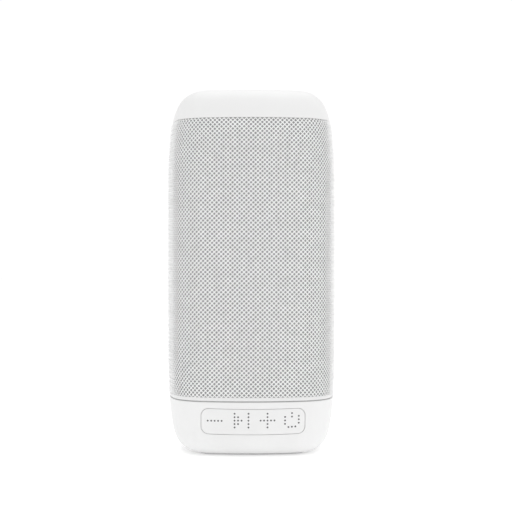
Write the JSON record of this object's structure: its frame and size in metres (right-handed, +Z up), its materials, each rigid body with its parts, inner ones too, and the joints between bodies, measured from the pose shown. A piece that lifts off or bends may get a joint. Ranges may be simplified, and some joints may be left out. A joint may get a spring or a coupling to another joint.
{
  "type": "portable wireless speaker",
  "caption": "Upright tube speaker with a rounded-square plan: woven sleeve all round, white cap and base, and a dot-symbol keypad low on the front.",
  "frame": {"origin": "centre of the base, on the surface it stands on", "axes": "+Z up along the tube, -Y is the front with the keypad, +X to the right seen from the front"},
  "size_m": [0.062, 0.062, 0.1313],
  "materials": {
    "cap_plastic": "soft-touch matte white, moulded",
    "base_plastic": "soft-touch matte white, moulded",
    "mesh_fabric": "light grey woven mesh, diagonal threads",
    "trim_plastic": "satin light grey rim",
    "dark_seal": "dark grey elastomer, matte",
    "foot_rubber": "grey rubber, fine grain",
    "key_silicone": "white soft-touch key skin",
    "dot_grey": "dark grey filled dots",
    "abs_black": "black moulded plastic",
    "frame_grey": "grey moulded plastic",
    "board_green": "solder-masked circuit board",
    "chip_black": "moulded chip packages",
    "steel": "plain steel",
    "socket_metal": "stamped and plated shell",
    "ferrite": "sintered ferrite magnet",
    "paper_cone": "pressed cone",
    "foam_black": "soft foam or butyl rubber",
    "coil_copper": "copper winding on its former",
    "cell_wrap": "shrink-wrapped cell",
    "wire_skin": "wire insulation",
    "ribbon": "polyimide flexible cable",
    "led_lens": "clear LED package"
  },
  "bodies": {
    "housing": {"top_cap": "cap_plastic", "base_shell": "base_plastic", "grille_fabric": "mesh_fabric", "trim_rim": "trim_plastic", "seam_gasket": "dark_seal", "foot_pad": "foot_rubber", "grille_frame": "frame_grey", "fabric_clamp_ring": "frame_grey", "keypad_carrier": "key_silicone", "keypad_board": "board_green", "tact_switches": "socket_metal", "status_led": "led_lens", "microphone": "socket_metal", "main_board": "board_green", "board_pillars": "frame_grey", "board_chips": "chip_black", "board_screws": "steel", "usb_c_socket": "socket_metal", "aux_jack": "abs_black", "cabinet": "abs_black", "lid_seal": "foam_black", "cabinet_lid": "abs_black", "driver_basket": "steel", "driver_top_plate": "steel", "driver_magnet": "ferrite", "driver_yoke": "steel", "driver_spider": "ribbon", "driver_surround": "foam_black", "driver_gasket": "foam_black", "driver_terminals": "ribbon", "passive_frame": "abs_black", "passive_surround": "foam_black", "battery_cell": "cell_wrap", "battery_cradle": "frame_grey", "speaker_lead_a": "wire_skin", "speaker_lead_b": "wire_skin", "keypad_ribbon": "ribbon", "case_screws": "steel", "cap_screws": "steel"},
    "minus_button": {"key_minus": "key_silicone", "dots_minus": "dot_grey", "switch_stem_minus": "chip_black"},
    "play_button": {"key_play": "key_silicone", "dots_play": "dot_grey", "switch_stem_play": "chip_black"},
    "plus_button": {"key_plus": "key_silicone", "dots_plus": "dot_grey", "switch_stem_plus": "chip_black"},
    "power_button": {"key_power": "key_silicone", "dots_power": "dot_grey", "switch_stem_power": "chip_black"},
    "driver_motor": {"voice_coil": "coil_copper", "driver_cone": "paper_cone", "driver_dust_cap": "paper_cone"},
    "passive_mass": {"passive_plate": "steel"}
  },
  "joints": [
    {"name": "minus_press", "type": "slide", "parent": "housing", "child": "minus_button", "axis": [0, 1, 0], "range_m": [0, 0.00035], "stiffness_N_per_m": 1200, "springref_m": -0.0004},
    {"name": "play_press", "type": "slide", "parent": "housing", "child": "play_button", "axis": [0, 1, 0], "range_m": [0, 0.00035], "stiffness_N_per_m": 1200, "springref_m": -0.0004},
    {"name": "plus_press", "type": "slide", "parent": "housing", "child": "plus_button", "axis": [0, 1, 0], "range_m": [0, 0.00035], "stiffness_N_per_m": 1200, "springref_m": -0.0004},
    {"name": "power_press", "type": "slide", "parent": "housing", "child": "power_button", "axis": [0, 1, 0], "range_m": [0, 0.00035], "stiffness_N_per_m": 1200, "springref_m": -0.0004},
    {"name": "cone_travel", "type": "slide", "parent": "housing", "child": "driver_motor", "axis": [0, -1, 0], "range_m": [-0.0015, 0.0015], "stiffness_N_per_m": 900, "deforming": ["driver_surround", "driver_spider"]},
    {"name": "passive_travel", "type": "slide", "parent": "housing", "child": "passive_mass", "axis": [0, 1, 0], "range_m": [-0.0015, 0.0015], "stiffness_N_per_m": 700, "deforming": ["passive_surround"]}
  ]
}
